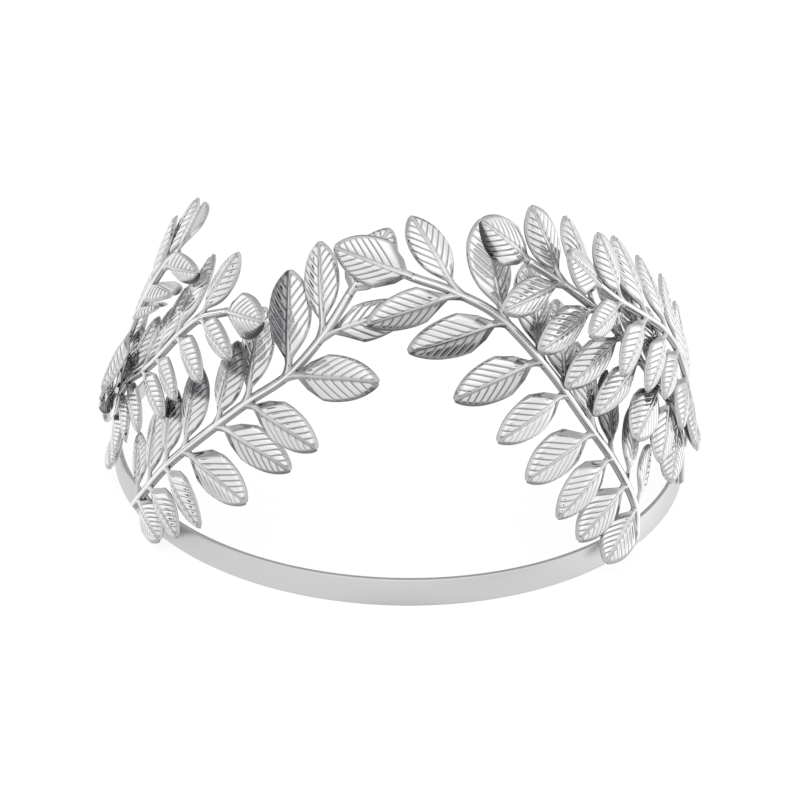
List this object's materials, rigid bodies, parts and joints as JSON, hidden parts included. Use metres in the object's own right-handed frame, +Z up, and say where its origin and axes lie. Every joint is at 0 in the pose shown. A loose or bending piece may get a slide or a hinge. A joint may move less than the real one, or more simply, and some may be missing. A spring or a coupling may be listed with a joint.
{
  "type": "leaf crown",
  "caption": "Open metal hoop carrying stamped leaf branches that sweep up both sides and cross over the brow, worn as a crown.",
  "frame": {"origin": "centre of the crown's box, on the plane of the hoop's lower edge", "axes": "+Z up, out of the hoop; -Y the front over the brow, where the branches meet; +X the viewer's right, facing the front"},
  "size_m": [0.1478, 0.0853, 0.079],
  "materials": {
    "hoop_silver": "satin silver plate",
    "leaf_silver": "polished silver plate, with raised veins"
  },
  "bodies": {
    "root": {"band": "hoop_silver", "branch_right_front": "leaf_silver", "branch_right_middle": "leaf_silver", "branch_right_back": "leaf_silver", "branch_left_front": "leaf_silver", "branch_left_middle": "leaf_silver", "branch_left_back": "leaf_silver"}
  },
  "joints": []
}
